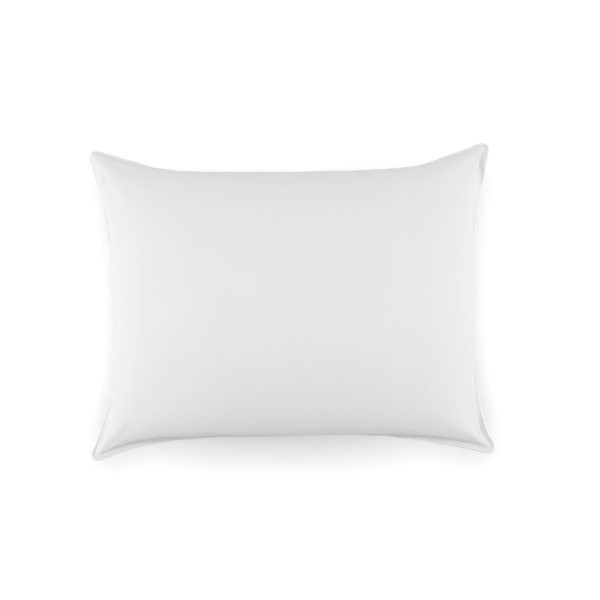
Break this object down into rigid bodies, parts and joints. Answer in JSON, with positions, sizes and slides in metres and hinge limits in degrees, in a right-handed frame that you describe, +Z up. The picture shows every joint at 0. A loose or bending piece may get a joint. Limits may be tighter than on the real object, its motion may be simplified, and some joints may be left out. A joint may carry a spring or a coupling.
{
  "type": "bed pillow",
  "caption": "Rectangular bed pillow with plump crowned faces, sides that draw in between eared corners, and a corded, double-stitched edge.",
  "frame": {"origin": "on the surface that the pillow rests on, under the middle of its bounding box", "axes": "+X along the pillow's length, +Y across its width towards the side with the care label, +Z up through the front panel"},
  "size_m": [0.654, 0.513, 0.182],
  "materials": {
    "cotton_shell": "matte",
    "cotton_tape": "matte",
    "cotton_cord": "matte",
    "sewing_thread": "satin",
    "white_down": "matte",
    "label_satin": "satin"
  },
  "bodies": {
    "root": {"front_panel": "cotton_shell", "back_panel": "cotton_shell", "down_fill": "white_down", "piping_tape": "cotton_tape", "piping_cord": "cotton_cord", "overlock_thread": "sewing_thread", "edge_seam_needle_thread": "sewing_thread", "edge_seam_bobbin_thread": "sewing_thread", "topstitch_needle_thread": "sewing_thread", "topstitch_bobbin_thread": "sewing_thread", "closing_needle_thread": "sewing_thread", "closing_bobbin_thread": "sewing_thread", "care_label": "label_satin"}
  },
  "joints": []
}
